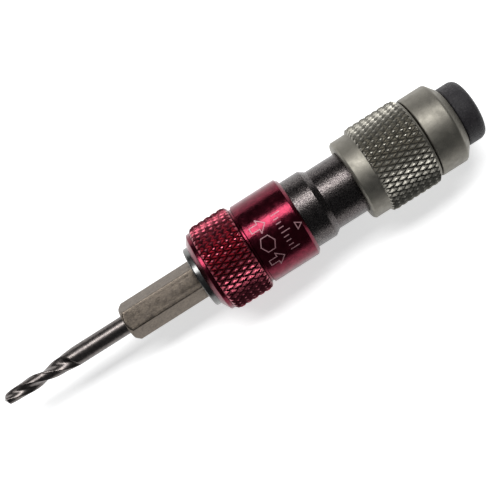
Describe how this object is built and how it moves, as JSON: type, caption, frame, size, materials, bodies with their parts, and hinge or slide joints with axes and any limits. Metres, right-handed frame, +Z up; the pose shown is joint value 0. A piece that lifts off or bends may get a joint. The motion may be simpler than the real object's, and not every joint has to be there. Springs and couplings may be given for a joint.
{
  "type": "pin vise drill",
  "caption": "Hand drill with a knurled quick-release hex collar, knurled grip and free-turning palm cap, fitted with a small twist drill on a hex shank.",
  "frame": {"origin": "bottom centre of the bounding box, under the middle of the tool, which lies on its two knurls", "axes": "+X along the tool from the drill tip to the palm cap, +Z up, square to one flat of the hex shank"},
  "size_m": [0.0964, 0.0166, 0.0165],
  "materials": {
    "drill_steel": "polished dark high-speed steel",
    "shank_steel": "satin, warm grey",
    "black_steel": "black oxide, satin",
    "red_anodised": "red anodised, satin",
    "silver_satin": "clear anodised, satin",
    "black_plastic": "fine-grained",
    "bright_steel": "ground bright",
    "magnet_plate": "nickel plated",
    "brass": "turned",
    "nylon": "natural"
  },
  "bodies": {
    "handle": {"spindle": "black_steel", "socket_magnet": "magnet_plate", "nose_ring": "shank_steel", "nose_snap_ring": "bright_steel", "grip_sleeve": "silver_satin", "lock_washer": "shank_steel", "spindle_nut": "shank_steel", "bearing_housing": "silver_satin", "bearing_outer_race": "bright_steel", "bearing_circlip": "bright_steel", "collar_spring": "bright_steel"},
    "seat": {"spring_seat": "brass"},
    "collar": {"release_collar": "red_anodised"},
    "ball_1": {"lock_ball_1": "bright_steel"},
    "ball_2": {"lock_ball_2": "bright_steel"},
    "bit": {"twist_drill": "drill_steel", "hex_shank": "shank_steel"},
    "cap": {"palm_cap": "black_plastic", "swivel_pin": "shank_steel", "pin_clip": "bright_steel", "bearing_inner_race": "bright_steel", "dust_washer": "nylon"},
    "cage": {"bearing_cage": "brass", "bearing_ball_1": "bright_steel", "bearing_ball_2": "bright_steel", "bearing_ball_3": "bright_steel", "bearing_ball_4": "bright_steel", "bearing_ball_5": "bright_steel", "bearing_ball_6": "bright_steel", "bearing_ball_7": "bright_steel"}
  },
  "joints": [
    {"name": "collar_slide", "type": "slide", "parent": "handle", "child": "seat", "axis": [1, 0, 0], "range_m": [0, 0.003], "stiffness_N_per_m": 900, "springref_m": -0.004, "deforming": ["collar_spring"]},
    {"name": "collar_spin", "type": "hinge", "parent": "seat", "child": "collar", "pos_m": [0, 0, 0.00826], "axis": [1, 0, 0], "continuous": true},
    {"name": "lock_ball_1_slide", "type": "slide", "parent": "handle", "child": "ball_1", "axis": [0, 0, 1], "range_m": [0, 0.000675]},
    {"name": "lock_ball_2_slide", "type": "slide", "parent": "handle", "child": "ball_2", "axis": [0, 0, -1], "range_m": [0, 0.000675]},
    {"name": "bit_slide", "type": "slide", "parent": "handle", "child": "bit", "axis": [-1, 0, 0], "range_m": [0, 0.016]},
    {"name": "cap_swivel", "type": "hinge", "parent": "handle", "child": "cap", "pos_m": [0, 0, 0.00826], "axis": [1, 0, 0], "continuous": true},
    {"name": "cage_spin", "type": "hinge", "parent": "handle", "child": "cage", "pos_m": [0, 0, 0.00826], "axis": [1, 0, 0], "continuous": true}
  ],
  "couplings": [
    {"joint": "lock_ball_1_slide", "follows": "collar_slide", "ratio": 0.225},
    {"joint": "lock_ball_2_slide", "follows": "collar_slide", "ratio": 0.225},
    {"joint": "cage_spin", "follows": "cap_swivel", "ratio": 0.39}
  ]
}
